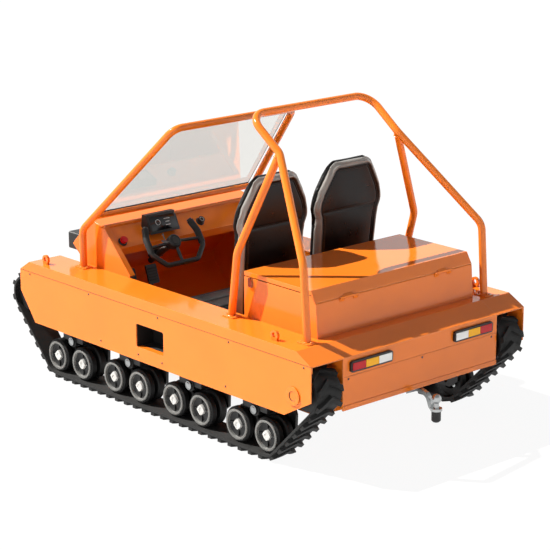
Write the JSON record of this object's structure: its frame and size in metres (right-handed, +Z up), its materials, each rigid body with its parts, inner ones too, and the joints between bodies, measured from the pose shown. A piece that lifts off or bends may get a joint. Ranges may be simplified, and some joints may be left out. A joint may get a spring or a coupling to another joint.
{
  "type": "tracked all-terrain vehicle",
  "caption": "Open two-seat all-terrain vehicle on rubber tracks with bogie road wheels, roll frame, raked windscreen, rear engine box and tow hitch",
  "frame": {"origin": "ground level, middle of the bounding box", "axes": "+X forward, +Y to the driver's left, +Z up"},
  "size_m": [2.648, 1.514, 1.643],
  "materials": {
    "orange_paint": "gloss enamel",
    "black_vinyl": "padded vinyl, satin",
    "black_rubber": "moulded, matt",
    "grey_paint": "satin",
    "black_paint": "satin",
    "black_plastic": "moulded",
    "bright_steel": "machined",
    "dark_iron": "cast",
    "clear_glass": "polished",
    "red_plastic": "moulded",
    "amber_plastic": "moulded",
    "white_plastic": "moulded"
  },
  "bodies": {
    "vehicle": {"hull_tub": "orange_paint", "rear_deck": "orange_paint", "rear_panel_upper": "orange_paint", "rear_panel_lower": "orange_paint", "fender_left": "orange_paint", "fender_right": "orange_paint", "skirt_left": "orange_paint", "skirt_right": "orange_paint", "step_trays": "orange_paint", "skirt_caps": "orange_paint", "engine_box": "orange_paint", "front_cowl": "orange_paint", "dash_panel": "orange_paint", "windscreen_frame": "orange_paint", "roll_frame": "orange_paint", "frame_feet": "orange_paint", "seat_base": "orange_paint", "lifting_eyes": "orange_paint", "lid_hinges": "orange_paint", "seat_cushions": "black_vinyl", "seat_backs": "black_vinyl", "track_left": "black_rubber", "track_right": "black_rubber", "road_wheels": "grey_paint", "side_rails": "grey_paint", "bogie_beams": "black_paint", "steering_column": "black_paint", "pedals": "black_paint", "end_wheels": "black_paint", "headlamps": "black_plastic", "tail_lamps": "black_plastic", "display_unit": "black_plastic", "dash_knob": "black_plastic", "hitch_cap": "black_plastic", "tow_neck": "bright_steel", "tow_ball": "bright_steel", "bogie_pivots": "bright_steel", "lid_latches": "bright_steel", "engine_block": "dark_iron", "windscreen_glass": "clear_glass", "lens_red": "red_plastic", "stop_button": "red_plastic", "lens_amber": "amber_plastic", "lens_white": "white_plastic"},
    "steering": {"steering_yoke": "black_plastic"},
    "lid": {"engine_lid": "orange_paint"}
  },
  "joints": [
    {"name": "steering_turn", "type": "hinge", "parent": "vehicle", "child": "steering", "pos_m": [0.425, 0.264, 0.795], "axis": [-0.8192, 0, 0.5736], "range_deg": [-60, 60]},
    {"name": "lid_swing", "type": "hinge", "parent": "vehicle", "child": "lid", "pos_m": [-1.0114, 0, 0.8055], "axis": [0, -1, 0], "range_deg": [0, 45]}
  ]
}
